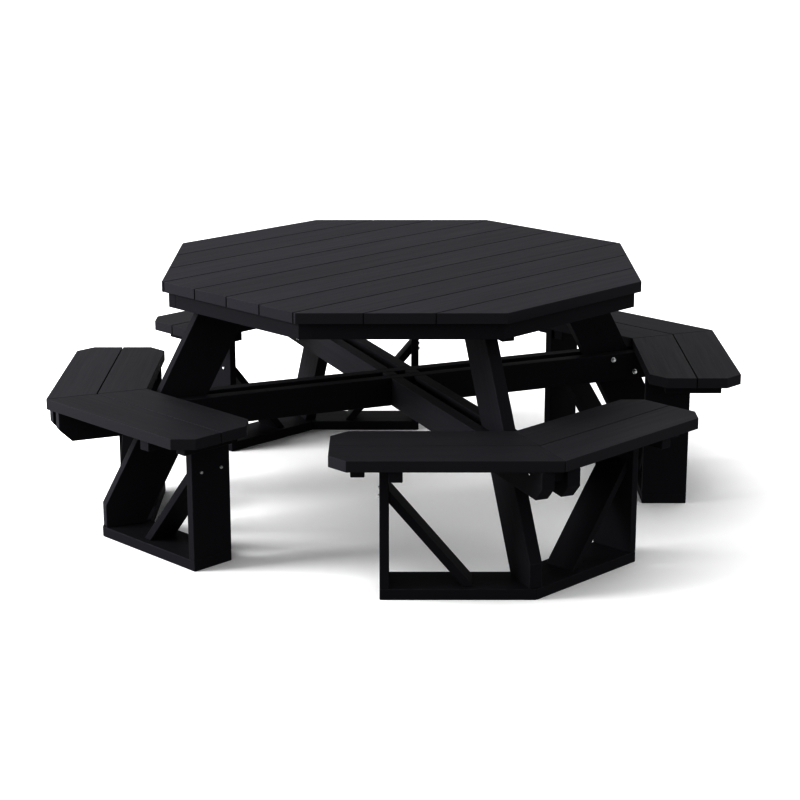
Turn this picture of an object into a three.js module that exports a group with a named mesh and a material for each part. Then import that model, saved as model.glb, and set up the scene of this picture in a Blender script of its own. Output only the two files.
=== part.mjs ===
// Octagonal walk-in picnic table of dark plastic lumber.
//
// Eight-sided slatted top on four leaning legs, with four V-shaped benches around it.
// Millimetres, +Z up, origin on the ground under the middle of the table.
// Each bench sits in its own group, turned about Z to its apex direction, and each bench
// has two wings in nested groups. Wing coordinates: x = outward from the table, y = along
// the wing (side * s, where s grows from the apex to the free end), z = up.
import * as THREE from 'three';

// ---- Stock -------------------------------------------------------------------------
const BOARD_WIDTH = 139.7;
const DECK_THICKNESS = 31.75;
const FRAME_THICKNESS = 38.1;
const POST_THICKNESS = 25.4;
const TRIM_THICKNESS = 22.2;
const CLEARANCE = 0.3;

// ---- Table top ---------------------------------------------------------------------
const TOP_HEIGHT = 772.8;
const TOP_BOARDS = 10;
const TOP_GAP = 3.2;
const TOP_BOARD_ANGLE = 45;
const APRON_HEIGHT = 48;
const APRON_SETBACK = 19.05;
const TOP_BEAM_HEIGHT = 70;
const TOP_BEAM_REACH = 678;

// ---- Seats -------------------------------------------------------------------------
const SEAT_HEIGHT = 448.3;
const SEAT_INNER = 765.1;
const SEAT_BOARD_GAP = 3.2;
const SEAT_MITRE_GAP = 1.6;
const SEAT_WING_END = 197.4;
const SEAT_CORNER_CUT = 49.1;

// ---- Bench frames ------------------------------------------------------------------
const BASE_INNER = 766;
const BASE_END = 61.3;
const BRACE_WIDTH = 98.4;
const BRACE_THICKNESS = 22.9;
const BRACE_SLOPE = Math.tan(THREE.MathUtils.degToRad(50));
const BRACE_HEAD_HEIGHT = 276.6;

// ---- Legs and lower beams ----------------------------------------------------------
const LEG_LEAN = 0.5397;
const LEG_FACE_RADIUS = 789.5;
const LEG_FACE_HEIGHT = 442;
const BEAM_HEIGHT = 88.9;
const BEAM_REACH = 1112;
const BEAM_CORNER_CUT = 38;
const BLOCK_HEIGHT = 38.1;
const BLOCK_START = 988;
const BLOCK_END = 1090;

// ---- Directions --------------------------------------------------------------------
const SIDES = 8;
const BENCHES = 4;
const FIRST_APEX = -67.5;
const HALF_STEP = THREE.MathUtils.degToRad(180 / SIDES);
const BENCH_NAMES = ['front', 'right', 'back', 'left'];
const WINGS = [{ name: 'cw', side: -1 }, { name: 'ccw', side: 1 }];

// ---- Derived -----------------------------------------------------------------------
const TOP_PITCH = BOARD_WIDTH + TOP_GAP;
const TOP_HALF = (TOP_BOARDS * TOP_PITCH - TOP_GAP) / 2;
const TOP_UNDERSIDE = TOP_HEIGHT - DECK_THICKNESS;
const APRON_OUTER = TOP_HALF - APRON_SETBACK;
const SEAT_UNDERSIDE = SEAT_HEIGHT - DECK_THICKNESS;
const BASE_OUTER = BASE_INNER + BOARD_WIDTH;
const POST_INNER_FACE = BASE_END - POST_THICKNESS;
const BEAM_BOTTOM = SEAT_UNDERSIDE - BEAM_HEIGHT;
const BEAM_OFFSET = FRAME_THICKNESS / 2 + CLEARANCE;

const group = new THREE.Group();

/** Prism of a plan outline, between two heights. */
function deck(outline, bottom, top) {
  const depth = top - bottom;
  const geometry = new THREE.ExtrudeGeometry(shapeOf(outline), { depth, bevelEnabled: false });
  return geometry.translate(0, 0, bottom);
}

/** Prism of an outline drawn as [x, z], reaching from y = near to y = far. */
function wall(outline, near, far) {
  const depth = far - near;
  const geometry = new THREE.ExtrudeGeometry(shapeOf(outline), { depth, bevelEnabled: false });
  return geometry.translate(0, 0, -far).rotateX(Math.PI / 2);
}

function shapeOf(outline) {
  return new THREE.Shape(outline.map(([x, y]) => new THREE.Vector2(x, y)));
}

/** Dark plastic lumber; the shade differs a little from one kind of board to the next. */
function lumber(shade) {
  return new THREE.MeshStandardMaterial({ color: shade, roughness: 0.62, metalness: 0 });
}

function place(parent, name, geometry, shade) {
  const mesh = new THREE.Mesh(geometry, lumber(shade));
  mesh.name = name;
  parent.add(mesh);
}

/** A group turned about Z by an angle in radians. */
function turned(parent, angle) {
  const child = new THREE.Group();
  child.rotation.z = angle;
  parent.add(child);
  return child;
}

// ---- Table top ---------------------------------------------------------------------

/** Half the length of an octagon's chord, at a distance across from its centre. */
function halfChord(across) {
  const corner = TOP_HALF * Math.tan(HALF_STEP);
  return TOP_HALF + Math.min(0, corner - Math.abs(across));
}

/** Octagon slice between two distances across: x along the board, y across it. */
function topBoardOutline(low, high) {
  const corner = TOP_HALF * Math.tan(HALF_STEP);
  const stations = [low, -corner, corner, high].filter((across) => across >= low && across <= high);
  const right = stations.map((across) => [halfChord(across), across]);
  const left = stations.reverse().map((across) => [-halfChord(across), across]);
  return [...right, ...left];
}

function buildTop() {
  const top = turned(group, THREE.MathUtils.degToRad(TOP_BOARD_ANGLE));
  for (let index = 0; index < TOP_BOARDS; index += 1) {
    const low = index * TOP_PITCH - TOP_HALF;
    const outline = topBoardOutline(low, low + BOARD_WIDTH);
    place(top, `top_board_${index + 1}`, deck(outline, TOP_UNDERSIDE, TOP_HEIGHT), 0x35353b);
  }
}

/** Corners of a regular octagon whose flats lie at a distance from the centre. */
function octagon(flat) {
  const radius = flat / Math.cos(HALF_STEP);
  return Array.from({ length: SIDES }, (_, corner) => {
    const angle = (2 * corner + 1) * HALF_STEP;
    return [radius * Math.cos(angle), radius * Math.sin(angle)];
  });
}

/** The eight apron boards as one ring under the edge of the top. */
function buildApron() {
  const ring = shapeOf(octagon(APRON_OUTER));
  ring.holes.push(shapeOf(octagon(APRON_OUTER - TRIM_THICKNESS)));
  const depth = APRON_HEIGHT - CLEARANCE;
  const geometry = new THREE.ExtrudeGeometry(ring, { depth, bevelEnabled: false });
  place(group, 'apron_ring', geometry.translate(0, 0, TOP_UNDERSIDE - APRON_HEIGHT), 0x2c2c31);
}

/** Two half-lapped beams under the top, each bolted to one side of two legs. */
function buildTopFrame() {
  const near = BEAM_OFFSET;
  const far = BEAM_OFFSET + FRAME_THICKNESS;
  const reach = TOP_BEAM_REACH;
  const outline = [
    [reach, near], [reach, far], [far, far], [far, reach], [near, reach], [near, far],
    [-reach, far], [-reach, near], [near, near], [near, -reach], [far, -reach], [far, near],
  ];
  const frame = turned(group, THREE.MathUtils.degToRad(FIRST_APEX + 90));
  const geometry = deck(outline, TOP_UNDERSIDE - TOP_BEAM_HEIGHT, TOP_UNDERSIDE - CLEARANCE);
  place(frame, 'top_beam_cross', geometry, 0x232327);
}

// ---- Legs and lower beams ----------------------------------------------------------

/** Distance of the leg's outer face from the table's axis, at a height. */
function legFace(height) {
  return LEG_FACE_RADIUS + LEG_LEAN * (LEG_FACE_HEIGHT - height);
}

/** A leaning leg from the base board to the top, its toe cut upright flush with the base's edges. */
function legGeometry() {
  const foot = DECK_THICKNESS + CLEARANCE;
  const head = TOP_UNDERSIDE - CLEARANCE;
  const toe = BASE_OUTER / Math.cos(HALF_STEP) - (FRAME_THICKNESS / 2) * Math.tan(HALF_STEP);
  const toeTop = LEG_FACE_HEIGHT - (toe - LEG_FACE_RADIUS) / LEG_LEAN;
  const slantWidth = BOARD_WIDTH * Math.hypot(1, LEG_LEAN);
  const outline = [
    [legFace(foot) - slantWidth, foot], [toe, foot], [toe, toeTop],
    [legFace(head), head], [legFace(head) - slantWidth, head],
  ];
  return wall(outline, -FRAME_THICKNESS / 2, FRAME_THICKNESS / 2);
}

/** A lower beam across the whole table, notched at the crossing for the other pair. */
function lowerBeamGeometry(near, notchFromTop) {
  const top = SEAT_UNDERSIDE - CLEARANCE;
  const middle = (SEAT_UNDERSIDE + BEAM_BOTTOM) / 2;
  const inner = BEAM_OFFSET - CLEARANCE;
  const outer = BEAM_OFFSET + FRAME_THICKNESS + CLEARANCE;
  const edge = notchFromTop ? top : BEAM_BOTTOM;
  const lap = notchFromTop ? middle - CLEARANCE / 2 : middle + CLEARANCE / 2;
  const notches = [
    [-outer, edge], [-outer, lap], [-inner, lap], [-inner, edge],
    [inner, edge], [inner, lap], [outer, lap], [outer, edge],
  ];
  const lower = [
    [-BEAM_REACH, BEAM_BOTTOM + BEAM_CORNER_CUT], [-BEAM_REACH + BEAM_CORNER_CUT, BEAM_BOTTOM],
    ...(notchFromTop ? [] : notches),
    [BEAM_REACH - BEAM_CORNER_CUT, BEAM_BOTTOM], [BEAM_REACH, BEAM_BOTTOM + BEAM_CORNER_CUT],
  ];
  const upper = [
    [BEAM_REACH, top], ...(notchFromTop ? [...notches].reverse() : []), [-BEAM_REACH, top],
  ];
  return wall([...lower, ...upper], near, near + FRAME_THICKNESS);
}

function buildLowerBeams() {
  const pairs = [{ name: 'a', angle: FIRST_APEX, notchFromTop: true },
    { name: 'b', angle: FIRST_APEX + 90, notchFromTop: false }];
  for (const pair of pairs) {
    const frame = turned(group, THREE.MathUtils.degToRad(pair.angle));
    [-BEAM_OFFSET - FRAME_THICKNESS, BEAM_OFFSET].forEach((near, index) => {
      const geometry = lowerBeamGeometry(near, pair.notchFromTop);
      place(frame, `lower_beam_${pair.name}${index + 1}`, geometry, 0x29292e);
    });
  }
}

/** The spacer bolted between the two beam ends, under the apex of a bench. */
function apexBlockGeometry() {
  const top = SEAT_UNDERSIDE - CLEARANCE;
  const block = new THREE.BoxGeometry(BLOCK_END - BLOCK_START, FRAME_THICKNESS, BLOCK_HEIGHT);
  return block.translate((BLOCK_START + BLOCK_END) / 2, 0, top - BLOCK_HEIGHT / 2);
}

// ---- Benches -----------------------------------------------------------------------

/** Where a line at a distance outward meets the apex plane, measured along the wing. */
function apexAlong(outward) {
  return -outward * Math.tan(HALF_STEP);
}

/** A seat board of one wing: mitred at the apex, one end corner cut off. */
function seatBoardGeometry(inner, side, cutOuterCorner) {
  const outer = inner + BOARD_WIDTH;
  const mitre = SEAT_MITRE_GAP / 2 / Math.cos(HALF_STEP);
  const end = SEAT_WING_END;
  const cut = SEAT_CORNER_CUT;
  const freeEnd = cutOuterCorner
    ? [[outer, end - cut], [outer - cut, end], [inner, end]]
    : [[outer, end], [inner + cut, end], [inner, end - cut]];
  const outline = [[inner, apexAlong(inner) + mitre], [outer, apexAlong(outer) + mitre], ...freeEnd];
  return deck(outline.map(([x, s]) => [x, side * s]), SEAT_UNDERSIDE, SEAT_HEIGHT);
}

/** Upright end board of a wing, standing on the base board and carrying the seat. */
function postGeometry(side) {
  const bottom = DECK_THICKNESS + CLEARANCE;
  const top = SEAT_UNDERSIDE - CLEARANCE;
  const post = new THREE.BoxGeometry(BOARD_WIDTH, POST_THICKNESS, top - bottom);
  const along = BASE_END - POST_THICKNESS / 2;
  return post.translate(BASE_INNER + BOARD_WIDTH / 2, side * along, (top + bottom) / 2);
}

/** Thin brace on the middle of the base board, up to the inner face of the post. */
function braceGeometry(side) {
  const head = POST_INNER_FACE - CLEARANCE;
  const foot = DECK_THICKNESS + CLEARANCE;
  const footAlong = head - (BRACE_HEAD_HEIGHT - foot) / BRACE_SLOPE;
  const rise = BRACE_THICKNESS * Math.hypot(1, BRACE_SLOPE);
  const outline = [
    [footAlong - rise / BRACE_SLOPE, foot], [footAlong, foot],
    [head, BRACE_HEAD_HEIGHT], [head, BRACE_HEAD_HEIGHT + rise],
  ];
  const middle = BASE_INNER + BOARD_WIDTH / 2;
  const near = -middle - BRACE_WIDTH / 2;
  const geometry = wall(outline.map(([s, z]) => [side * s, z]), near, near + BRACE_WIDTH);
  return geometry.rotateZ(Math.PI / 2);
}

/** The two base boards of a bench, mitred and joined at the apex, flat on the ground. */
function baseGeometry() {
  const across = new THREE.Vector2(Math.cos(HALF_STEP), Math.sin(HALF_STEP));
  const at = (outward, along, side) => [
    outward * across.x - along * across.y,
    side * (outward * across.y + along * across.x),
  ];
  const outline = [
    at(BASE_INNER, BASE_END, -1), at(BASE_OUTER, BASE_END, -1),
    at(BASE_OUTER, apexAlong(BASE_OUTER), 1),
    at(BASE_OUTER, BASE_END, 1), at(BASE_INNER, BASE_END, 1),
    at(BASE_INNER, apexAlong(BASE_INNER), 1),
  ];
  return deck(outline, 0, DECK_THICKNESS);
}

function buildWing(bench, benchName, { name, side }) {
  const wing = turned(bench, side * HALF_STEP);
  const prefix = `${benchName}_${name}`;
  const outerBoard = SEAT_INNER + BOARD_WIDTH + SEAT_BOARD_GAP;
  place(wing, `${prefix}_seat_inner`, seatBoardGeometry(SEAT_INNER, side, false), 0x303036);
  place(wing, `${prefix}_seat_outer`, seatBoardGeometry(outerBoard, side, true), 0x303036);
  place(wing, `${prefix}_post`, postGeometry(side), 0x28282d);
  place(wing, `${prefix}_brace`, braceGeometry(side), 0x252529);
}

function buildBench(index) {
  const name = BENCH_NAMES[index];
  const bench = turned(group, THREE.MathUtils.degToRad(FIRST_APEX + 90 * index));
  place(bench, `${name}_leg`, legGeometry(), 0x2a2a2f);
  place(bench, `${name}_base`, baseGeometry(), 0x26262b);
  place(bench, `${name}_apex_block`, apexBlockGeometry(), 0x26262b);
  WINGS.forEach((wing) => buildWing(bench, name, wing));
}

buildTop();
buildApron();
buildTopFrame();
buildLowerBeams();
for (let index = 0; index < BENCHES; index += 1) {
  buildBench(index);
}

export default group;
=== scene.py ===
"""Octagonal walk-in picnic table of dark plastic lumber, dressed for a plain studio.

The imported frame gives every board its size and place. Each sub-assembly below is a class that
takes its boards from that frame, eases their edges, cuts the joined ones into the separate
boards that a maker would saw, and adds the cleats, bolts, washers, nuts and screws.
Units are metres, +Z is up, and the table stands on the ground at z = 0.
"""
import logging
import math
import random
from dataclasses import dataclass, field
from enum import Enum
from typing import Iterable, Sequence

import bmesh
import bpy
from mathutils import Matrix, Vector


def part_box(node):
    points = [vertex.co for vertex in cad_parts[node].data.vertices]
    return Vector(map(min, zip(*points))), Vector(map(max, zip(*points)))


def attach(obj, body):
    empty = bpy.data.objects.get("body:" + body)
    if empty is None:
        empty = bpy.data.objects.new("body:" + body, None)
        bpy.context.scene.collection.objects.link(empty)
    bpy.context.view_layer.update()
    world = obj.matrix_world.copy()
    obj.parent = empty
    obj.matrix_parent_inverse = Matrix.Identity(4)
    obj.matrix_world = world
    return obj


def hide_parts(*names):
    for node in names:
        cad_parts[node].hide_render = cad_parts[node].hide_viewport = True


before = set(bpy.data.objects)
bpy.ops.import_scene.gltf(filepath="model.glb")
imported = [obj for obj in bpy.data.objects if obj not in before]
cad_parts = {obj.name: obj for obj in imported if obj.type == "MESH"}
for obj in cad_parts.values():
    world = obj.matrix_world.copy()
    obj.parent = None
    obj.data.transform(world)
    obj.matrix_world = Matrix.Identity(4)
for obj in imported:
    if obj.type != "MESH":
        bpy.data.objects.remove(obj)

log = logging.getLogger("picnic_table")

Mesh = bmesh.types.BMesh
Material = bpy.types.Material
Node = bpy.types.Node
Piece = bpy.types.Object
Socket = bpy.types.NodeSocket
Tree = bpy.types.NodeTree
Triple = tuple[float, float, float]
Span = tuple[float, float]
Outline = Sequence[Span]

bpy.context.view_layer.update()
MM = 0.001
SIDES = 8
HALF_STEP = math.pi / SIDES
FULL_STEP = 2 * HALF_STEP
QUARTER_TURN = math.pi / 2
FIRST_APEX = math.radians(-67.5)
UP = Vector((0, 0, 1))
BENCH_NAMES = ("front", "right", "back", "left")
CLEARANCE = 0.3 * MM
CAD_WELD = 0.02 * MM
LATHE_WELD = 0.01 * MM
COPLANAR = math.radians(0.5)

# A Mix node repeats its socket names for each data type, so its colour sockets go by number.
MIX_FACTOR, MIX_FIRST, MIX_SECOND, MIX_RESULT = 0, 6, 7, 2


class Slot(Enum):
    """Material slots of the record that the pieces take their finish from."""

    TOP = "top_lumber"
    SEAT = "seat_lumber"
    FRAME = "frame_lumber"
    STEEL = "steel_hardware"


class Side(Enum):
    """The two wings of a bench, by the way they turn from its apex."""

    CW = -1
    CCW = 1

    @property
    def label(self) -> str:
        """The wing's part of a piece's name."""
        return self.name.lower()


# ---- Shader building -----------------------------------------------------------------


@dataclass
class Wiring:
    """Adds nodes to a node tree and links them, so that a finish reads top to bottom."""

    tree: Tree

    def node(self, kind: str, **settings: object) -> Node:
        """Add one node.

        Args:
            kind: The node's type name.
            **settings: Properties to set on it, such as operation or blend_type.

        Returns:
            The new node.
        """
        made = self.tree.nodes.new(kind)
        for name, value in settings.items():
            setattr(made, name, value)
        return made

    def feed(self, socket: Socket, value: object) -> None:
        """Link an output to a socket, or set a constant on it.

        Args:
            socket: The input to fill.
            value: An output socket, a number, or a tuple.
        """
        if isinstance(value, Socket):
            self.tree.links.new(value, socket)
        else:
            socket.default_value = value

    def math(self, operation: str, first: object, second: object = 0.0) -> Socket:
        """One scalar operation.

        Args:
            operation: The Math node's operation.
            first: First operand, a socket or a number.
            second: Second operand.

        Returns:
            The result's socket.
        """
        made = self.node("ShaderNodeMath", operation=operation)
        self.feed(made.inputs[0], first)
        self.feed(made.inputs[1], second)
        return made.outputs[0]

    def weighted(self, first: Socket, share: float, second: Socket, rest: float) -> Socket:
        """The sum of two values, each times its own share.

        Args:
            first: First value.
            share: Its share.
            second: Second value.
            rest: The second one's share.

        Returns:
            The sum's socket.
        """
        return self.math("ADD", self.math("MULTIPLY", first, share),
                         self.math("MULTIPLY", second, rest))

    def scaled(self, vector: object, scale: Triple) -> Socket:
        """A vector multiplied part by part.

        Args:
            vector: The vector socket.
            scale: Factors for x, y and z.

        Returns:
            The scaled vector's socket.
        """
        made = self.node("ShaderNodeVectorMath", operation="MULTIPLY")
        self.feed(made.inputs[0], vector)
        made.inputs[1].default_value = tuple(scale)
        return made.outputs[0]

    def noise(self, vector: object, scale: float, detail: float = 3.0,
              roughness: float = 0.5) -> Socket:
        """A noise value between 0 and 1.

        Args:
            vector: Where to read it.
            scale: Cells per unit.
            detail: Octaves.
            roughness: Share that each octave keeps.

        Returns:
            The noise factor's socket.
        """
        made = self.node("ShaderNodeTexNoise", noise_dimensions="3D")
        self.feed(made.inputs["Vector"], vector)
        made.inputs["Scale"].default_value = scale
        made.inputs["Detail"].default_value = detail
        made.inputs["Roughness"].default_value = roughness
        return made.outputs["Fac"]

    def span(self, value: object, low: float, high: float, to_low: float = 0.0,
             to_high: float = 1.0) -> Socket:
        """Map a value from one range to another, clamped.

        Args:
            value: The socket to map.
            low: Start of the range it comes from.
            high: End of the range it comes from.
            to_low: What low becomes.
            to_high: What high becomes.

        Returns:
            The mapped value's socket.
        """
        made = self.node("ShaderNodeMapRange", clamp=True)
        self.feed(made.inputs["Value"], value)
        made.inputs["From Min"].default_value = low
        made.inputs["From Max"].default_value = high
        made.inputs["To Min"].default_value = to_low
        made.inputs["To Max"].default_value = to_high
        return made.outputs["Result"]

    def mix(self, factor: object, first: object, second: object) -> Socket:
        """Mix two colours.

        Args:
            factor: Share of the second.
            first: First colour, a socket or RGBA.
            second: Second colour.

        Returns:
            The mixed colour's socket.
        """
        made = self.node("ShaderNodeMix", data_type="RGBA")
        self.feed(made.inputs[MIX_FACTOR], factor)
        self.feed(made.inputs[MIX_FIRST], first)
        self.feed(made.inputs[MIX_SECOND], second)
        return made.outputs[MIX_RESULT]

    def attribute(self, name: str, vector: bool = False) -> Socket:
        """Read one of the piece's own attributes.

        Args:
            name: The attribute's name.
            vector: Whether it is read as a vector.

        Returns:
            Its socket.
        """
        made = self.node("ShaderNodeAttribute", attribute_name=name)
        return made.outputs["Vector" if vector else "Fac"]

    def relief(self, shader: Node, height: Socket, strength: float, depth: float) -> None:
        """Turn a height into a shader's normal.

        Args:
            shader: The Principled node.
            height: The height's socket.
            strength: How strongly it shows.
            depth: The distance between the lowest and the highest point.
        """
        bump = self.node("ShaderNodeBump")
        bump.inputs["Strength"].default_value = strength
        bump.inputs["Distance"].default_value = depth
        self.feed(bump.inputs["Height"], height)
        self.feed(shader.inputs["Normal"], bump.outputs["Normal"])

    def group(self, tree: Tree, **inputs: object) -> Node:
        """Place a shared effect.

        Args:
            tree: The effect's node group.
            **inputs: Its inputs by name, with spaces written as underscores.

        Returns:
            The placed group node.
        """
        made = self.node("ShaderNodeGroup", node_tree=tree)
        for name, value in inputs.items():
            self.feed(made.inputs[name.replace("_", " ")], value)
        return made


def effect(name: str, inputs: dict[str, float | None],
           outputs: Sequence[str]) -> tuple[Tree, Wiring, dict, dict]:
    """Start a shader node group.

    Args:
        name: The group's name.
        inputs: Input names with their default values, or None for a vector.
        outputs: Names of the value outputs.

    Returns:
        The group, its wiring, its inputs by name and its output sockets by name.
    """
    tree = bpy.data.node_groups.new(name, "ShaderNodeTree")
    for label, default in inputs.items():
        kind = "NodeSocketVector" if default is None else "NodeSocketFloat"
        socket = tree.interface.new_socket(name=label, in_out="INPUT", socket_type=kind)
        if default is not None:
            socket.default_value = default
    for label in outputs:
        tree.interface.new_socket(name=label, in_out="OUTPUT", socket_type="NodeSocketFloat")
    wires = Wiring(tree)
    entry = wires.node("NodeGroupInput")
    leave = wires.node("NodeGroupOutput")
    sources = {label: entry.outputs[label] for label in inputs}
    sinks = {label: leave.inputs[label] for label in outputs}
    return tree, wires, sources, sinks


class Effects:
    """Effects that more than one finish uses, each built once as a node group.

    The patterns of the boards have cells per metre along, across and through a board.
    """

    FINE_LINES = (5.0, 330.0, 330.0)
    COARSE_LINES = (2.2, 70.0, 70.0)
    LINE_SHARES = (0.6, 0.4)
    MOTTLING = (1.6, 11.0, 11.0)
    SPECKS = (420.0, 900.0, 900.0)
    PITTED = (0.66, 0.78)
    PIT_DEPTH = 0.5
    # Noise that breaks up the lighter edge colour, which stands for wear and a painted highlight.
    RUB_AND_HIGHLIGHT_SCALE = 38.0
    RUBBED_AND_HIGHLIT = (0.38, 0.62)
    LOOKING_UP = (0.55, 0.98)
    DUST_SCALE = 5.5
    DUSTY = (0.3, 0.75)
    CELL_SCALE = 900.0
    CELL_WALL = (0.05, 0.45)
    SAW_STROKES = (400.0, 30.0, 700.0)
    SAWN_SHARES = (0.7, 0.5)

    def __init__(self) -> None:
        """Build every shared effect."""
        self.grain = self._grain()
        self.wear = self._wear()
        self.dust = self._dust()
        self.cells = self._cells()

    def _grain(self) -> Tree:
        """Drawn lines, slow mottling and pits of extruded plastic lumber, along the board.

        Returns:
            The node group.
        """
        tree, wires, source, sink = effect(
            "lumber_grain", {"Place": None, "Fineness": 1.0}, ("Lines", "Mottle", "Pits", "Height"))
        place = wires.node("ShaderNodeVectorMath", operation="SCALE")
        wires.feed(place.inputs[0], source["Place"])
        wires.feed(place.inputs["Scale"], source["Fineness"])
        spot = place.outputs[0]
        fine = wires.noise(wires.scaled(spot, self.FINE_LINES), 1.0, detail=4.0, roughness=0.62)
        coarse = wires.noise(wires.scaled(spot, self.COARSE_LINES), 1.0)
        lines = wires.weighted(fine, self.LINE_SHARES[0], coarse, self.LINE_SHARES[1])
        mottle = wires.noise(wires.scaled(spot, self.MOTTLING), 1.0, detail=4.0, roughness=0.55)
        speck = wires.noise(wires.scaled(spot, self.SPECKS), 1.0, detail=2.0)
        pits = wires.span(speck, *self.PITTED)
        height = wires.math("SUBTRACT", lines, wires.math("MULTIPLY", pits, self.PIT_DEPTH))
        results = {"Lines": lines, "Mottle": mottle, "Pits": pits, "Height": height}
        for label, value in results.items():
            wires.feed(sink[label], value)
        return tree

    def _wear(self) -> Tree:
        """Rubbed edges with a painted highlight: the edge mask, broken up by noise.

        Returns:
            The node group.
        """
        tree, wires, source, sink = effect(
            "edge_wear", {"Place": None, "Edge": 0.0, "Amount": 0.5}, ("Mask",))
        noise = wires.noise(source["Place"], self.RUB_AND_HIGHLIGHT_SCALE, detail=4.0, roughness=0.6)
        patches = wires.span(noise, *self.RUBBED_AND_HIGHLIT)
        rubbed_and_highlit = wires.math("MULTIPLY", source["Edge"], patches)
        wires.feed(sink["Mask"], wires.math("MULTIPLY", rubbed_and_highlit, source["Amount"]))
        return tree

    def _dust(self) -> Tree:
        """A thin film of dust on faces that look up.

        Returns:
            The node group.
        """
        tree, wires, source, sink = effect(
            "settled_dust", {"Place": None, "Amount": 0.3}, ("Mask",))
        facing = wires.node("ShaderNodeSeparateXYZ")
        wires.feed(facing.inputs[0], wires.node("ShaderNodeNewGeometry").outputs["Normal"])
        upward = wires.span(facing.outputs["Z"], *self.LOOKING_UP)
        noise = wires.noise(source["Place"], self.DUST_SCALE, detail=5.0, roughness=0.6)
        film = wires.math("MULTIPLY", upward, wires.span(noise, *self.DUSTY))
        wires.feed(sink["Mask"], wires.math("MULTIPLY", film, source["Amount"]))
        return tree

    def _cells(self) -> Tree:
        """The foamed core that a saw cut opens: small cells and faint saw lines.

        Returns:
            The node group.
        """
        tree, wires, source, sink = effect("sawn_cells", {"Place": None}, ("Cells", "Height"))
        cell = wires.node("ShaderNodeTexVoronoi", feature="F1")
        wires.feed(cell.inputs["Vector"], source["Place"])
        cell.inputs["Scale"].default_value = self.CELL_SCALE
        holes = wires.span(cell.outputs["Distance"], *self.CELL_WALL)
        strokes = wires.noise(wires.scaled(source["Place"], self.SAW_STROKES), 1.0, roughness=0.6)
        wires.feed(sink["Cells"], holes)
        wires.feed(sink["Height"],
                   wires.weighted(holes, self.SAWN_SHARES[0], strokes, self.SAWN_SHARES[1]))
        return tree


def new_material(name: str) -> tuple[Material, Wiring, Node]:
    """An empty node material with its Principled shader.

    Args:
        name: The material's name.

    Returns:
        The material, its wiring and the Principled node.
    """
    material = bpy.data.materials.new(name)
    material.use_nodes = True
    wires = Wiring(material.node_tree)
    principled = material.node_tree.nodes["Principled BSDF"]
    return material, wires, principled


@dataclass(frozen=True)
class LumberFinish:
    """Dark through-coloured plastic lumber."""

    name: str
    tone: Triple
    light_tone: Triple
    roughness: float
    dust: float
    # Amount and colour of the lighter edges, which are partly wear and partly a painted highlight.
    wear: float
    worn_tone: Triple = (0.050, 0.049, 0.056)
    dust_tone: Triple = (0.070, 0.069, 0.076)
    shine: float = 0.06
    fineness: float = 1.0
    mottle_share: float = 0.7
    line_share: float = 0.5
    shade_range: Span = (0.35, 0.85)
    line_roughness: Span = (-0.06, 0.1)
    dust_roughness: float = 0.35
    mottle_roughness: float = 0.06
    cell_share: float = 0.8
    cell_roughness: Span = (0.18, 0.08)
    relief: float = 0.2 * MM
    drawn_strength: float = 0.5
    sawn_strength: float = 0.4

    def drawn(self, effects: Effects) -> Material:
        """The drawn faces, with lines along the board.

        Args:
            effects: The shared effects.

        Returns:
            The material.
        """
        material, wires, shader = new_material(self.name)
        place = wires.attribute("board", vector=True)
        grain = wires.group(effects.grain, Place=place, Fineness=self.fineness)
        lines, mottle = grain.outputs["Lines"], grain.outputs["Mottle"]
        dust = wires.group(effects.dust, Place=place, Amount=self.dust).outputs["Mask"]
        blend = wires.weighted(mottle, self.mottle_share, lines, self.line_share)
        colour = self._worn(wires, effects, place, wires.span(blend, *self.shade_range))
        wires.feed(shader.inputs["Base Color"], wires.mix(dust, colour, (*self.dust_tone, 1)))
        smooth, coarse = (self.roughness + change for change in self.line_roughness)
        rough = wires.math("ADD", wires.span(lines, 0.3, 0.7, smooth, coarse),
                           wires.math("MULTIPLY", dust, self.dust_roughness))
        rough = wires.math("ADD", rough, wires.math("MULTIPLY", mottle, self.mottle_roughness))
        wires.feed(shader.inputs["Roughness"], rough)
        shader.inputs["Specular IOR Level"].default_value = self.shine
        wires.relief(shader, grain.outputs["Height"], self.drawn_strength, self.relief)
        return material

    def sawn(self, effects: Effects) -> Material:
        """The saw-cut ends, where the foamed core shows.

        Args:
            effects: The shared effects.

        Returns:
            The material.
        """
        material, wires, shader = new_material(self.name + "_sawn")
        place = wires.attribute("board", vector=True)
        cells = wires.group(effects.cells, Place=place)
        shade = wires.math("MULTIPLY", cells.outputs["Cells"], self.cell_share)
        wires.feed(shader.inputs["Base Color"], self._worn(wires, effects, place, shade))
        wall, hole = (self.roughness + change for change in self.cell_roughness)
        wires.feed(shader.inputs["Roughness"], wires.span(cells.outputs["Cells"], 0, 1, wall, hole))
        shader.inputs["Specular IOR Level"].default_value = self.shine
        wires.relief(shader, cells.outputs["Height"], self.sawn_strength, self.relief)
        return material

    def _worn(self, wires: Wiring, effects: Effects, place: Socket, shade: Socket) -> Socket:
        """The lumber's colour, toned per board and lightened on edges: wear plus painted highlight.

        Args:
            wires: The material's wiring.
            effects: The shared effects.
            place: The place in the board.
            shade: How far towards the light tone the pattern goes.

        Returns:
            The colour's socket.
        """
        # The edges lighten towards a colour that is partly wear and partly a painted highlight.
        mask = wires.group(effects.wear, Place=place, Edge=wires.attribute("worn"),
                           Amount=self.wear).outputs["Mask"]
        shade = wires.math("ADD", shade, wires.attribute("tone"))
        colour = wires.mix(shade, (*self.tone, 1), (*self.light_tone, 1))
        return wires.mix(mask, colour, (*self.worn_tone, 1))


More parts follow.
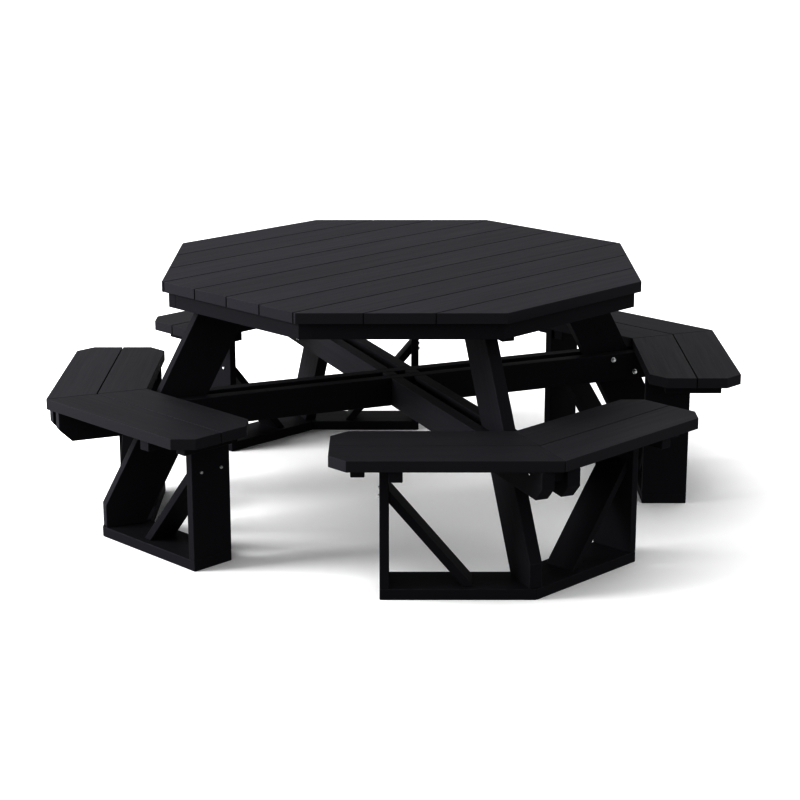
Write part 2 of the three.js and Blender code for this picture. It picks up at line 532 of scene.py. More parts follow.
@dataclass(frozen=True)
class SteelFinish:
    """Bright zinc-coated steel of the bolts and screws."""

    name: str = "zinc_steel"
    tone: Triple = (0.62, 0.63, 0.64)
    dull_tone: Triple = (0.42, 0.42, 0.41)
    roughness: float = 0.3
    spangle_scale: float = 420.0
    spangle_roughness: Span = (-0.06, 0.12)
    scratches: Triple = (2600.0, 300.0, 900.0)
    relief: float = 0.1 * MM
    relief_strength: float = 0.25

    def material(self) -> Material:
        """Build the material.

        Returns:
            The material.
        """
        material, wires, shader = new_material(self.name)
        place = wires.node("ShaderNodeTexCoord").outputs["Object"]
        spangle = wires.noise(place, self.spangle_scale, roughness=0.6)
        scratches = wires.noise(wires.scaled(place, self.scratches), 1.0, detail=2.0)
        wires.feed(shader.inputs["Base Color"],
                   wires.mix(wires.span(spangle, 0.35, 0.7), (*self.tone, 1), (*self.dull_tone, 1)))
        bright, dull = (self.roughness + change for change in self.spangle_roughness)
        wires.feed(shader.inputs["Roughness"], wires.span(spangle, 0.3, 0.7, bright, dull))
        shader.inputs["Metallic"].default_value = 1.0
        wires.relief(shader, scratches, self.relief_strength, self.relief)
        return material


class Finishes:
    """Every finish of the table, built once."""

    def __init__(self) -> None:
        """Build the lumber and steel materials."""
        effects = Effects()
        # All of this is the same lumber; the deck and seat tones are lighter than the frame's as
        # painted light on faces that look up.
        lumber = {
            Slot.TOP: LumberFinish(
                "deck_lumber", tone=(0.0222, 0.0217, 0.0262), light_tone=(0.0320, 0.0313, 0.0376),
                roughness=0.5, dust=0.05, wear=0.3),
            Slot.SEAT: LumberFinish(
                "seat_lumber", tone=(0.0222, 0.0217, 0.0252), light_tone=(0.0328, 0.0320, 0.0370),
                roughness=0.5, dust=0.05, wear=0.12),
            Slot.FRAME: LumberFinish(
                "frame_lumber", tone=(0.0125, 0.0122, 0.0153), light_tone=(0.0190, 0.0185, 0.0230),
                roughness=0.52, dust=0.03, wear=0.3),
        }
        self.lumber = {slot: (finish.drawn(effects), finish.sawn(effects))
                       for slot, finish in lumber.items()}
        self.steel = SteelFinish().material()


# ---- Mesh helpers --------------------------------------------------------------------


def copy_of(node: str) -> Mesh:
    """A clean copy of a CAD node, with its coplanar triangles joined into faces.

    Args:
        node: The CAD node's name.

    Returns:
        The copy.
    """
    mesh = bmesh.new()
    mesh.from_mesh(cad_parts[node].data)
    bmesh.ops.remove_doubles(mesh, verts=mesh.verts, dist=CAD_WELD)
    bmesh.ops.dissolve_limit(mesh, angle_limit=COPLANAR, verts=mesh.verts, edges=mesh.edges)
    return mesh


def prism(outline: Outline, low: float, high: float) -> Mesh:
    """A plan outline drawn up between two heights.

    Args:
        outline: Corners in plan.
        low: Lower height.
        high: Upper height.

    Returns:
        The closed prism.
    """
    mesh = bmesh.new()
    face = mesh.faces.new([mesh.verts.new((x, y, low)) for x, y in outline])
    grown = bmesh.ops.extrude_face_region(mesh, geom=[face])
    raised = [part for part in grown["geom"] if isinstance(part, bmesh.types.BMVert)]
    bmesh.ops.translate(mesh, vec=(0, 0, high - low), verts=raised)
    bmesh.ops.recalc_face_normals(mesh, faces=mesh.faces)
    return mesh


def upright_prism(outline: Outline, near: float, far: float) -> Mesh:
    """An outline drawn as (x, z), reaching from y = near to y = far.

    Args:
        outline: Corners as x and z.
        near: Smaller y.
        far: Larger y.

    Returns:
        The closed prism.
    """
    mesh = prism(outline, -far, -near)
    stand = Matrix.Rotation(QUARTER_TURN, 3, "X")
    bmesh.ops.rotate(mesh, cent=(0, 0, 0), matrix=stand, verts=mesh.verts)
    return mesh


def lathe(profile: Outline, steps: int, closed: bool = False) -> Mesh:
    """A profile of (radius, height) turned about Z.

    Args:
        profile: The profile's points; an open one starts and ends on the axis.
        steps: Segments round the axis.
        closed: Whether the profile closes on itself, as a ring's does.

    Returns:
        The closed turned shape.
    """
    mesh = bmesh.new()
    points = [mesh.verts.new((radius, 0, height)) for radius, height in profile]
    follow = points[1:] + points[:1] if closed else points[1:]
    edges = [mesh.edges.new(pair) for pair in zip(points, follow)]
    bmesh.ops.spin(mesh, geom=[*points, *edges], cent=(0, 0, 0), axis=(0, 0, 1), angle=2 * math.pi,
                   steps=steps, use_merge=True)
    bmesh.ops.remove_doubles(mesh, verts=mesh.verts, dist=LATHE_WELD)
    bmesh.ops.recalc_face_normals(mesh, faces=mesh.faces)
    return mesh


def joined(parts: Iterable[Mesh]) -> Mesh:
    """Put several meshes into one and free them.

    Args:
        parts: The meshes.

    Returns:
        One mesh that holds them all.
    """
    whole = bmesh.new()
    holder = bpy.data.meshes.new("holder")
    for part in parts:
        part.to_mesh(holder)
        whole.from_mesh(holder)
        part.free()
    bpy.data.meshes.remove(holder)
    return whole


def aimed(point: Vector, direction: Vector) -> Matrix:
    """The placement that carries +Z to a direction at a point.

    Args:
        point: Where the origin goes.
        direction: Where +Z points.

    Returns:
        The matrix.
    """
    return Matrix.Translation(point) @ direction.to_track_quat("Z", "Y").to_matrix().to_4x4()


def moved(mesh: Mesh, matrix: Matrix) -> Mesh:
    """Move a mesh by a matrix.

    Args:
        mesh: The mesh.
        matrix: The placement.

    Returns:
        The same mesh.
    """
    bmesh.ops.transform(mesh, matrix=matrix, verts=mesh.verts)
    return mesh


def shown(name: str, mesh: Mesh, materials: Sequence[Material],
          stands_for: Sequence[str] = ()) -> Piece:
    """Finish a piece: make its object, dress it and tie it to the frame.

    Args:
        name: The piece's name.
        mesh: Its mesh, in place; freed here.
        materials: Its materials.
        stands_for: CAD nodes that it stands for.

    Returns:
        The piece.
    """
    data = bpy.data.meshes.new(name)
    mesh.to_mesh(data)
    mesh.free()
    piece = bpy.data.objects.new(name, data)
    bpy.context.scene.collection.objects.link(piece)
    for material in materials:
        data.materials.append(material)
    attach(piece, "root")
    if stands_for:
        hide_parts(*stands_for)
    log.info("made %s (%d faces)", name, len(data.polygons))
    return piece


# ---- The workshop: boards and hardware -----------------------------------------------


@dataclass
class Sawmill:
    """Makes boards: eases their edges, tells drawn faces from sawn ends and dresses them."""

    finishes: Finishes
    edge_radius: float = 2.0 * MM
    edge_segments: int = 3
    sharp_angle: float = math.radians(15)
    sawn_facing: float = 0.5
    sawn_material: int = 1
    tone_spread: float = 0.22
    grain_shift: float = 40.0
    dice: random.Random = field(default_factory=lambda: random.Random(11))

    def board(self, name: str, mesh: Mesh, along: Vector, flat: Vector, slot: Slot,
              stands_for: Sequence[str] = (), ease: float | None = None) -> Piece:
        """Turn a sharp board into a finished one.

        Args:
            name: The piece's name.
            mesh: The board in place; freed here.
            along: Its long direction.
            flat: The direction its broad face looks.
            slot: The record's material slot.
            stands_for: CAD nodes that it stands for.
            ease: Radius of its edges, if not the usual one.

        Returns:
            The piece.
        """
        radius = self.edge_radius if ease is None else ease
        self._ease_edges(mesh, radius)
        self._mark_sawn_ends(mesh, along)
        piece = shown(name, mesh, self.finishes.lumber[slot], stands_for)
        self._lay_grain(piece, along, flat)
        return piece

    def dress(self, name: str, node: str, along: Vector, flat: Vector, slot: Slot = Slot.FRAME,
              ease: float | None = None) -> Piece:
        """Finish a CAD node that is one board already.

        Args:
            name: The piece's name.
            node: The CAD node.
            along: The board's long direction.
            flat: The direction its broad face looks.
            slot: The record's material slot.
            ease: Radius of its edges, if not the usual one.

        Returns:
            The piece.
        """
        return self.board(name, copy_of(node), along, flat, slot, (node,), ease)

    def _ease_edges(self, mesh: Mesh, radius: float) -> None:
        """Round every sharp edge and mark the rounded faces for wear and a painted highlight.

        Args:
            mesh: The board.
            radius: Size of the rounding.
        """
        sharp = [edge for edge in mesh.edges
                 if edge.is_manifold and edge.calc_face_angle() > self.sharp_angle]
        rounded = bmesh.ops.bevel(mesh, geom=sharp, offset=radius, offset_type="OFFSET",
                                  segments=self.edge_segments, profile=0.5, affect="EDGES",
                                  clamp_overlap=True, material=-1)
        # This mask lightens the rounded faces: partly wear, partly a painted highlight.
        rubbed_and_highlit = mesh.loops.layers.float.new("worn")
        for face in rounded["faces"]:
            face.smooth = True
            for loop in face.loops:
                loop[rubbed_and_highlit] = 1.0

    def _mark_sawn_ends(self, mesh: Mesh, along: Vector) -> None:
        """Give the faces that a saw cut across the board their own material.

        Args:
            mesh: The board.
            along: Its long direction.
        """
        mesh.normal_update()
        for face in mesh.faces:
            if abs(face.normal.dot(along)) > self.sawn_facing:
                face.material_index = self.sawn_material

    def _lay_grain(self, piece: Piece, along: Vector, flat: Vector) -> None:
        """Store where each point lies in the board's own length, width and thickness.

        Args:
            piece: The finished board.
            along: Its long direction.
            flat: The direction its broad face looks.
        """
        length = along.normalized()
        width = flat.cross(length).normalized()
        depth = length.cross(width)
        start = Vector(self.dice.uniform(0, self.grain_shift) for _ in range(3))
        tone = self.dice.uniform(-self.tone_spread, self.tone_spread)
        places: list[float] = []
        for vertex in piece.data.vertices:
            spot = vertex.co
            places.extend(start + Vector((spot.dot(length), spot.dot(width), spot.dot(depth))))
        tones = [tone] * len(piece.data.vertices)
        new_attribute = piece.data.attributes.new
        new_attribute("board", "FLOAT_VECTOR", "POINT").data.foreach_set("vector", places)
        new_attribute("tone", "FLOAT", "POINT").data.foreach_set("value", tones)


@dataclass
class Ironmonger:
    """Makes the bolts, nuts, washers and screws.

    The steps are segments round an axis, and each share is a part of the size it stands beside.
    """

    finishes: Finishes
    shank: float = 4.0 * MM
    shank_share: float = 0.96
    shank_steps: int = 18
    nut_flats: float = 12.7 * MM
    nut_height: float = 6.6 * MM
    nut_dish: float = 0.5 * MM
    head_height: float = 5.3 * MM
    chamfer_shares: Span = (0.07, 0.1)
    dish_share: float = 0.14
    corner_radius: float = 0.25 * MM
    corner_angle: float = math.radians(30)
    top_facing: float = 0.9
    washer_radius: float = 8.7 * MM
    washer_thickness: float = 1.6 * MM
    washer_rounding: float = 0.3 * MM
    washer_steps: int = 28
    thread_pitch: float = 1.4 * MM
    thread_root_share: float = 0.88
    thread_tip_share: float = 0.7
    thread_past_nut: float = 3.2 * MM
    lag_flats: float = 8.7 * MM
    lag_height: float = 3.8 * MM
    lag_length: float = 35 * MM
    lag_core_share: float = 0.7
    lag_point_share: float = 0.85
    lag_steps: int = 14
    collar_shares: Span = (0.56, 0.53)
    collar_height: float = 0.7 * MM
    collar_steps: int = 24
    lag_seat: float = 0.5 * MM
    screw_radius: float = 3.6 * MM
    screw_steps: int = 14
    screw_profile: Outline = (
        (0, -0.4), (1, -0.4), (1, 0.5), (0.82, 1.5), (0.42, 2.1), (0.3, 0.7), (0, 0.5))

    def fit(self, name: str, parts: Iterable[Mesh]) -> Piece:
        """Show a set of hardware as one named piece.

        Args:
            name: The piece's name.
            parts: Its meshes, in place.

        Returns:
            The piece.
        """
        return shown(name, joined(parts), (self.finishes.steel,))

    def screw_row(self, name: str, spots: Iterable[Vector], outward: Vector) -> Piece:
        """Show screws that all face one way as one named piece.

        Args:
            name: The piece's name.
            spots: Where each meets the face.
            outward: The way the face looks.

        Returns:
            The piece.
        """
        return self.fit(name, [self.screw(spot, outward) for spot in spots])

    def _hexagon(self, flats: float, height: float, dish: float = 0.0) -> Mesh:
        """A hexagon head or nut standing on z = 0, its top corners turned down.

        Args:
            flats: Size across the flats.
            height: Its height.
            dish: How far the top face is set in; 0 leaves it flat.

        Returns:
            The mesh.
        """
        mesh = bmesh.new()
        bmesh.ops.create_cone(mesh, cap_ends=True, segments=6, radius1=flats / math.sqrt(3),
                              radius2=flats / math.sqrt(3), depth=height)
        bmesh.ops.translate(mesh, vec=(0, 0, height / 2), verts=mesh.verts)
        top = [face for face in mesh.faces if face.normal.z > self.top_facing]
        inset, rise = self.chamfer_shares
        rim = bmesh.ops.inset_region(mesh, faces=top, thickness=flats * inset, depth=height * rise)
        crown = [face for face in mesh.faces
                 if face.normal.z > self.top_facing and face not in rim["faces"]]
        if dish:
            inset = flats * self.dish_share
            bmesh.ops.inset_region(mesh, faces=crown, thickness=inset, depth=-dish)
        sharp = [edge for edge in mesh.edges if edge.calc_face_angle(0) > self.corner_angle]
        bmesh.ops.bevel(mesh, geom=sharp, offset=self.corner_radius, offset_type="OFFSET",
                        segments=2, profile=0.5, affect="EDGES", clamp_overlap=True, material=-1)
        return mesh

    def _washer(self) -> Mesh:
        """A flat washer standing on z = 0.

        Returns:
            The mesh.
        """
        inner, outer = self.shank, self.washer_radius
        thick, soft = self.washer_thickness, self.washer_rounding
        profile = [(inner, 0), (outer - soft, 0), (outer, soft), (outer, thick - soft),
                   (outer - soft, thick), (inner, thick)]
        return lathe(profile, self.washer_steps, closed=True)

    def _thread_end(self, reach: float) -> Mesh:
        """The end of a bolt past its nut, with a few turns of thread and a chamfered tip.

        Args:
            reach: How far it stands out from z = 0.

        Returns:
            The mesh.
        """
        pitch, crest = self.thread_pitch, self.shank
        root, tip = crest * self.thread_root_share, crest * self.thread_tip_share
        profile = [(0, 0), (root, 0)]
        for turn in range(int(reach / pitch)):
            profile += [(crest, (turn + 0.5) * pitch), (root, (turn + 1) * pitch)]
        profile += [(tip, reach), (0, reach)]
        return lathe(profile, self.shank_steps)

    def through_bolt(self, start: Vector, end: Vector) -> list[Mesh]:
        """A through-bolt: head and washer at one face, washer, nut and thread end at the other.

        Args:
            start: Where the head's washer meets the timber.
            end: Where the nut's washer meets the timber.

        Returns:
            Its meshes in place.
        """
        axis = (end - start).normalized()
        head = aimed(start, -axis)
        tail = aimed(end, axis)
        seat = Matrix.Translation((0, 0, self.washer_thickness))
        length = (end - start).length
        radius = self.shank * self.shank_share
        shank = lathe([(0, 0), (radius, 0), (radius, length), (0, length)], self.shank_steps)
        return [
            moved(self._washer(), head),
            moved(self._hexagon(self.nut_flats, self.head_height), head @ seat),
            moved(shank, aimed(start, axis)),
            moved(self._washer(), tail),
            moved(self._hexagon(self.nut_flats, self.nut_height, self.nut_dish), tail @ seat),
            moved(self._thread_end(self.nut_height + self.thread_past_nut), tail @ seat),
        ]

    def lag_bolt(self, point: Vector, outward: Vector) -> list[Mesh]:
        """A lag bolt driven into a face.

        Args:
            point: Where its head meets the face.
            outward: The way the face looks.

        Returns:
            Its meshes in place.
        """
        core, length, thick = self.shank * self.lag_core_share, self.lag_length, self.collar_height
        shank = lathe([(0, 0), (core, 0), (core, length * self.lag_point_share), (0, length)],
                      self.lag_steps)
        low, high = (self.lag_flats * share for share in self.collar_shares)
        collar = lathe([(0, 0), (low, 0), (high, thick), (0, thick)], self.collar_steps)
        place = aimed(point, outward)
        seat = Matrix.Translation((0, 0, self.lag_seat))
        return [
            moved(collar, place),
            moved(self._hexagon(self.lag_flats, self.lag_height), place @ seat),
            moved(shank, aimed(point, -outward)),
        ]

    def screw(self, point: Vector, outward: Vector) -> Mesh:
        """The pan head of a deck screw, with its recess.

        Args:
            point: Where it meets the face.
            outward: The way the face looks.

        Returns:
            Its mesh in place.
        """
        profile = [(self.screw_radius * share, height * MM) for share, height in self.screw_profile]
        return moved(lathe(profile, self.screw_steps), aimed(point, outward))


# ---- Places --------------------------------------------------------------------------


@dataclass(frozen=True)
class Ray:
    """A direction out from the table's axis, with its own along and sideways coordinates."""

    angle: float

    @property
    def out(self) -> Vector:
        """The unit vector outward."""
        return Vector((math.cos(self.angle), math.sin(self.angle), 0))

    @property
    def aside(self) -> Vector:
        """The unit vector a quarter turn anticlockwise from outward."""
        return Vector((-math.sin(self.angle), math.cos(self.angle), 0))

    @property
    def matrix(self) -> Matrix:
        """The turn that carries +X to outward."""
        return Matrix.Rotation(self.angle, 4, "Z")

    def at(self, out: float, aside: float, height: float) -> Vector:
        """A point by its distance outward, its offset aside and its height."""
        return self.out * out + self.aside * aside + UP * height


@dataclass(frozen=True)
class Wing:
    """One straight half of a bench: outward from the table, and along towards its free end."""

    bench: str
    apex: float
    side: Side

    @property
    def ray(self) -> Ray:
        """The direction square to the wing."""
        return Ray(self.apex + self.side.value * HALF_STEP)

    @property
    def along(self) -> Vector:
        """The unit vector towards the free end."""
        return self.ray.aside * self.side.value

    @property
    def prefix(self) -> str:
        """The start of the wing's piece names."""
        return f"{self.bench}_{self.side.label}"

    def at(self, out: float, along: float, height: float) -> Vector:
        """A point by its distance outward, its distance along and its height."""
        return self.ray.out * out + self.along * along + UP * height

    def block(self, out: Span, along: Span, height: Span) -> Mesh:
        """A square-cut block in the wing's own directions.

        Args:
            out: Nearest and farthest distance outward.
            along: Start and end along the wing.
            height: Bottom and top.

        Returns:
            The block in place.
        """
        ends = sorted(self.side.value * value for value in along)
        outline = [(out[0], ends[0]), (out[1], ends[0]), (out[1], ends[1]), (out[0], ends[1])]
        return moved(prism(outline, *height), self.ray.matrix)


# ---- Sub-assemblies ------------------------------------------------------------------


@dataclass
class TableTop:
    """The slatted octagonal top, its apron and the two half-lapped beams under it."""

    sawmill: Sawmill
    ironmonger: Ironmonger
    boards: int = 10
    board_angle: float = math.radians(45)
    deck_edge: float = 1.5 * MM
    apron_thickness: float = 22.2 * MM
    apron_edge: float = 1.2 * MM
    apron_screws: tuple[float, ...] = (-190 * MM, 0, 190 * MM)
    beam_thickness: float = 38.1 * MM
    beam_offset: float = 19.35 * MM
    beam_screws: tuple[float, ...] = (-0.9, -0.62, -0.3, 0.3, 0.62, 0.9)

    def build(self) -> None:
        """Make every piece of the top."""
        self._deck()
        self._apron()
        self._beams()

    def _deck(self) -> None:
        """The deck boards, with their lines along their length."""
        along = Ray(self.board_angle).out
        for number in range(1, self.boards + 1):
            self.sawmill.dress(f"deck_board_{number}", f"top_board_{number}", along, UP, Slot.TOP,
                               self.deck_edge)

    def _apron(self) -> None:
        """Eight apron boards, each running past one neighbour and stopping short of the other."""
        low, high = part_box("apron_ring")
        face = high.x
        back = face - self.apron_thickness
        middle = (face + back) / 2
        cosine, sine = math.cos(FULL_STEP), math.sin(FULL_STEP)
        for number in range(SIDES):
            ray = Ray(FULL_STEP * number - QUARTER_TURN)
            outline = [
                (face, (face * cosine - back + CLEARANCE) / sine),
                (face, (face - face * cosine) / sine),
                (back, (face - back * cosine) / sine),
                (back, (back * cosine - back + CLEARANCE) / sine),
            ]
            mesh = moved(prism(outline, low.z, high.z), ray.matrix)
            self.sawmill.board(f"apron_board_{number + 1}", mesh, ray.aside, ray.out, Slot.FRAME,
                               ("apron_ring",), ease=self.apron_edge)
            spots = [ray.at(middle, aside, low.z) for aside in self.apron_screws]
            self.ironmonger.screw_row(f"apron_screws_{number + 1}", spots, -UP)

    def _beams(self) -> None:
        """Two beams side by side with the legs, each halved where it crosses the other."""
        low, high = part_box("top_beam_cross")
        reach = self._reach()
        near, far = self.beam_offset, self.beam_offset + self.beam_thickness
        middle, centre = (low.z + high.z) / 2, (near + far) / 2
        plans = (("a", FIRST_APEX, -far, -near, True),
                 ("b", FIRST_APEX + QUARTER_TURN, near, far, False))
        for label, angle, start, end, from_top in plans:
            lap = middle - CLEARANCE / 2 if from_top else middle + CLEARANCE / 2
            edge = high.z if from_top else low.z
            first, last = start - CLEARANCE, end + CLEARANCE
            notch = [(first, edge), (first, lap), (last, lap), (last, edge)]
            lower = [(-reach, low.z), *([] if from_top else notch), (reach, low.z)]
            upper = [(reach, high.z), *(reversed(notch) if from_top else []), (-reach, high.z)]
            ray = Ray(angle)
            mesh = moved(upright_prism([*lower, *upper], near, far), ray.matrix)
            self.sawmill.board(f"top_beam_{label}", mesh, ray.out, ray.aside, Slot.FRAME,
                               ("top_beam_cross",))
            spots = [ray.at(reach * share, centre, low.z) for share in self.beam_screws]
            self.ironmonger.screw_row(f"top_beam_{label}_screws", spots, -UP)

    def _reach(self) -> float:
        """Half the length of a top beam, from the box of the crossed pair.

        Returns:
            The half length.
        """
        _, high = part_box("top_beam_cross")
        far = self.beam_offset + self.beam_thickness
        tilt = FIRST_APEX + QUARTER_TURN
        return (high.x + far * math.sin(tilt)) / math.cos(tilt)


@dataclass
class UnderFrame:
    """The four lower beams, halved at the crossing, and the legs bolted between them."""

    sawmill: Sawmill
    ironmonger: Ironmonger
    leg_lean: float = 0.5397
    leg_half: float = 19.05 * MM
    beam_outer: float = 57.45 * MM
    leg_bolts: tuple[Span, ...] = ((0.7266, 0.3986), (0.8069, 0.3514))
    apex_screw: Span = (1.0365, 0.3905)
    top_bolt: Span = (0.575, 0.706)

    def build(self) -> None:
        """Make every piece of the under-frame."""
        self._lower_beams()
        for index, name in enumerate(BENCH_NAMES):
            ray = Ray(FIRST_APEX + QUARTER_TURN * index)
            self._leg(name, ray)
            self._apex_block(name, ray)
            self._bolts(name, ray, index)

    def _lower_beams(self) -> None:
        """Dress the beams that run right across."""
        for label, angle in (("a", FIRST_APEX), ("b", FIRST_APEX + QUARTER_TURN)):
            ray = Ray(angle)
            for number in (1, 2):
                self.sawmill.dress(f"cross_beam_{label}{number}", f"lower_beam_{label}{number}",
                                   ray.out, ray.aside)

    def _leg(self, name: str, ray: Ray) -> None:
        """Dress one leaning leg.

        Args:
            name: The bench it belongs to.
            ray: The direction it leans.
        """
        along = (UP - ray.out * self.leg_lean).normalized()
        self.sawmill.dress(f"{name}_leaning_leg", f"{name}_leg", along, ray.aside)

    def _apex_block(self, name: str, ray: Ray) -> None:
        """Dress the spacer between the beam ends.

        Args:
            name: The bench it belongs to.
            ray: The direction of the apex.
        """
        self.sawmill.dress(f"{name}_spacer_block", f"{name}_apex_block", ray.out, UP)

    def _bolts(self, name: str, ray: Ray, index: int) -> None:
        """The bolts through leg and beams, the spacer's screws, and the bolt through the top beam.

        Args:
            name: The bench they belong to.
            ray: The direction of the apex.
            index: Which quarter of the table it is.
        """
        reach = self.beam_outer
        for number, (out, height) in enumerate(self.leg_bolts, start=1):
            ends = (ray.at(out, reach, height), ray.at(out, -reach, height))
            self.ironmonger.fit(f"{name}_beam_bolt_{number}", self.ironmonger.through_bolt(*ends))
        out, height = self.apex_screw
        screws = [self.ironmonger.screw(ray.at(out, side * reach, height), ray.aside * side)
                  for side in (-1, 1)]
        self.ironmonger.fit(f"{name}_spacer_screws", screws)
        # A top beam that lies to the left of one leg lies to the right of the opposite leg.
        side = 1 if index < len(BENCH_NAMES) // 2 else -1
        out, height = self.top_bolt
        ends = (ray.at(out, -side * self.leg_half, height), ray.at(out, side * reach, height))
        self.ironmonger.fit(f"{name}_top_bolt", self.ironmonger.through_bolt(*ends))


@dataclass
class Bench:
    """One V-shaped bench: seats, cleats, posts, braces and base boards."""

    sawmill: Sawmill
    ironmonger: Ironmonger
    index: int
    brace_slope: float = math.radians(50)
    post_face: float = 61.3 * MM
    seat_edge: float = 1.2 * MM
    mitre_gap: float = 0.8 * MM
    saw_tolerance: float = 0.001 * MM
    cleat_height: float = 31.75 * MM
    inner_cleat: Span = (-2.2 * MM, 35.6 * MM)
    outer_cleat: Span = (100.3 * MM, 138.4 * MM)
    inner_cleat_reach: Span = (776 * MM, 1037 * MM)
    outer_cleat_reach: Span = (818 * MM, 991 * MM)
    cleat_screws: tuple[float, ...] = (0.12, 0.38, 0.64, 0.9)
    lag_spots: tuple[float, ...] = (799 * MM, 872 * MM)
    lag_height: float = 293.7 * MM

    @property
    def name(self) -> str:
        """The bench's name."""
        return BENCH_NAMES[self.index]

    @property
    def apex(self) -> float:
        """The direction of the bench's apex."""
        return FIRST_APEX + QUARTER_TURN * self.index

    def build(self) -> None:
        """Make every piece of the bench."""
        for side in Side:
            wing = Wing(self.name, self.apex, side)
            self._seats(wing)
            self._cleats(wing)
            self._post_and_brace(wing)
            self._base(wing)

    def _seats(self, wing: Wing) -> None:
        """Dress the two mitred seat boards of a wing.

        Args:
            wing: The wing.
        """
        for place in ("inner", "outer"):
            self.sawmill.dress(f"{wing.prefix}_{place}_seat_board", f"{wing.prefix}_seat_{place}",
                               wing.along, UP, Slot.SEAT, self.seat_edge)

    def _cleats(self, wing: Wing) -> None:
        """The two cleats that tie a wing's seat boards together, with their screws.

        Args:
            wing: The wing.
        """
        seat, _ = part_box(f"{wing.prefix}_seat_inner")
        top = seat.z - CLEARANCE
        bottom = top - self.cleat_height
        plans = (("post_cleat", self.inner_cleat, self.inner_cleat_reach),
                 ("end_cleat", self.outer_cleat, self.outer_cleat_reach))
        for label, span, reach in plans:
            mesh = wing.block(reach, span, (bottom, top))
            name = f"{wing.prefix}_{label}"
            self.sawmill.board(name, mesh, wing.ray.out, UP, Slot.FRAME)
            middle = sum(span) / 2
            near, far = reach
            spots = [wing.at(near + (far - near) * share, middle, bottom)
                     for share in self.cleat_screws]
            self.ironmonger.screw_row(f"{name}_screws", spots, -UP)

    def _post_and_brace(self, wing: Wing) -> None:
        """Dress the end post and its brace, and drive the lag bolts.

        Args:
            wing: The wing.
        """
        name = wing.prefix
        self.sawmill.dress(f"{name}_end_post", f"{name}_post", UP, wing.along)
        rise = wing.along * math.cos(self.brace_slope) + UP * math.sin(self.brace_slope)
        flat = wing.ray.out.cross(rise)
        self.sawmill.dress(f"{name}_slant_brace", f"{name}_brace", rise, flat)
        lags: list[Mesh] = []
        for out in self.lag_spots:
            spot = wing.at(out, self.post_face, self.lag_height)
            lags += self.ironmonger.lag_bolt(spot, wing.along)
        self.ironmonger.fit(f"{name}_post_lags", lags)

    def _base(self, wing: Wing) -> None:
        """Cut this wing's base board from the V and leave a fine joint at the mitre.

        Args:
            wing: The wing.
        """
        node = f"{self.name}_base"
        mesh = copy_of(node)
        away = Ray(self.apex).aside * wing.side.value
        bmesh.ops.bisect_plane(mesh, geom=[*mesh.verts, *mesh.edges, *mesh.faces],
                               dist=self.saw_tolerance, plane_co=away * self.mitre_gap / 2,
                               plane_no=away, clear_inner=True)
        bmesh.ops.holes_fill(mesh, edges=[edge for edge in mesh.edges if edge.is_boundary], sides=0)
        bmesh.ops.recalc_face_normals(mesh, faces=mesh.faces)
        self.sawmill.board(f"{wing.prefix}_base_board", mesh, wing.along, UP, Slot.FRAME, (node,))


# ---- The studio ----------------------------------------------------------------------


@dataclass(frozen=True)
class Softbox:
    """A square area light aimed at a point."""

    name: str
    place: Triple
    target: Triple
    size: float
    power: float

    def hang(self) -> None:
        """Put the light in the scene."""
        light = bpy.data.lights.new(self.name, "AREA")
        light.shape = "SQUARE"
        light.size = self.size
        light.energy = self.power
        holder = bpy.data.objects.new(self.name, light)
        holder.location = self.place
        aim = Vector(self.target) - Vector(self.place)
        holder.rotation_euler = aim.to_track_quat("-Z", "Y").to_euler()
        bpy.context.scene.collection.objects.link(holder)


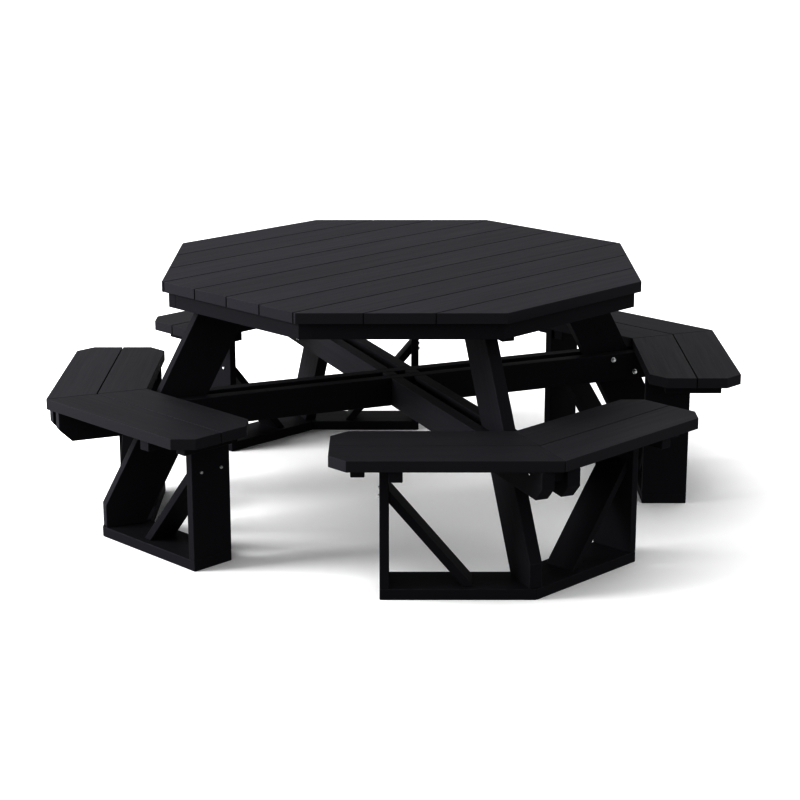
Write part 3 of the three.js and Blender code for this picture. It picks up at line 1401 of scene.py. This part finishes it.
@dataclass
class Studio:
    """A plain white floor, soft light and the camera."""

    floor_size: float = 60.0
    floor_drop: float = 0.2 * MM
    floor_tone: Triple = (0.86, 0.86, 0.86)
    floor_dimming: float = 0.985
    floor_mottling: float = 0.7
    floor_roughness: float = 0.85
    zenith: float = 1.8
    horizon: float = 1.15
    underlight: float = 0.03
    sky_power: float = 1.5
    horizon_depth: float = 0.05
    camera_place: Triple = (-0.0047, -6.0713, 2.0174)
    camera_tilt: float = math.radians(15.58)
    contrast_gamma: float = 0.64
    lens: float = 89.35
    sensor: float = 36.0
    softboxes: tuple[Softbox, ...] = (
        Softbox("left_softbox", (-6.6, -1.2, 2.5), (0, 0, 0.4), 3.0, 1000),
    )

    def build(self) -> None:
        """Set up floor, sky, lights and camera."""
        self._floor()
        self._sky()
        for softbox in self.softboxes:
            softbox.hang()
        self._camera()

    def _floor(self) -> None:
        """A wide pale floor at ground level.

        It shows the table's shadows but throws no light or shadow back on the table, so the
        timber keeps its dark tones low down.
        """
        mesh = bmesh.new()
        bmesh.ops.create_grid(mesh, x_segments=1, y_segments=1, size=self.floor_size / 2)
        data = bpy.data.meshes.new("studio_floor")
        mesh.to_mesh(data)
        mesh.free()
        floor = bpy.data.objects.new("studio_floor", data)
        floor.location.z = -self.floor_drop
        material, wires, shader = new_material("floor_paint")
        place = wires.node("ShaderNodeTexCoord").outputs["Object"]
        dim = tuple(part * self.floor_dimming for part in self.floor_tone)
        clouds = wires.noise(place, self.floor_mottling, detail=2.0)
        wires.feed(shader.inputs["Base Color"],
                   wires.mix(clouds, (*self.floor_tone, 1), (*dim, 1)))
        shader.inputs["Roughness"].default_value = self.floor_roughness
        data.materials.append(material)
        bpy.context.scene.collection.objects.link(floor)
        floor.visible_diffuse = floor.visible_shadow = False

    def _sky(self) -> None:
        """A white surround, brightest overhead and almost dark below the horizon."""
        world = bpy.data.worlds.new("studio_surround")
        world.use_nodes = True
        wires = Wiring(world.node_tree)
        background = world.node_tree.nodes["Background"]
        background.inputs["Color"].default_value = (1, 1, 1, 1)
        parts = wires.node("ShaderNodeSeparateXYZ")
        wires.feed(parts.inputs[0], wires.node("ShaderNodeTexCoord").outputs["Generated"])
        height = wires.math("MAXIMUM", parts.outputs["Z"], 0.0)
        climb = wires.math("POWER", height, self.sky_power)
        glow = wires.span(climb, 0, 1, self.horizon, self.zenith)
        above = wires.span(parts.outputs["Z"], -self.horizon_depth, 0.0,
                           self.underlight / self.horizon, 1.0)
        wires.feed(background.inputs["Strength"], wires.math("MULTIPLY", glow, above))
        bpy.context.scene.world = world

    def _camera(self) -> None:
        """The camera, in front of the table and looking slightly down."""
        data = bpy.data.cameras.new("camera")
        data.lens = self.lens
        data.sensor_width = self.sensor
        camera = bpy.data.objects.new("camera", data)
        camera.location = self.camera_place
        camera.rotation_euler = (QUARTER_TURN - self.camera_tilt, 0, 0)
        bpy.context.scene.collection.objects.link(camera)
        bpy.context.scene.camera = camera
        view = bpy.context.scene.view_settings
        view.view_transform = "Standard"
        view.gamma = self.contrast_gamma


def main() -> None:
    """Build the studio and every sub-assembly in order."""
    logging.basicConfig(level=logging.INFO, format="%(name)s: %(message)s")
    Studio().build()
    finishes = Finishes()
    sawmill = Sawmill(finishes)
    ironmonger = Ironmonger(finishes)
    TableTop(sawmill, ironmonger).build()
    UnderFrame(sawmill, ironmonger).build()
    for index in range(len(BENCH_NAMES)):
        Bench(sawmill, ironmonger, index).build()


if __name__ == "__main__":
    main()
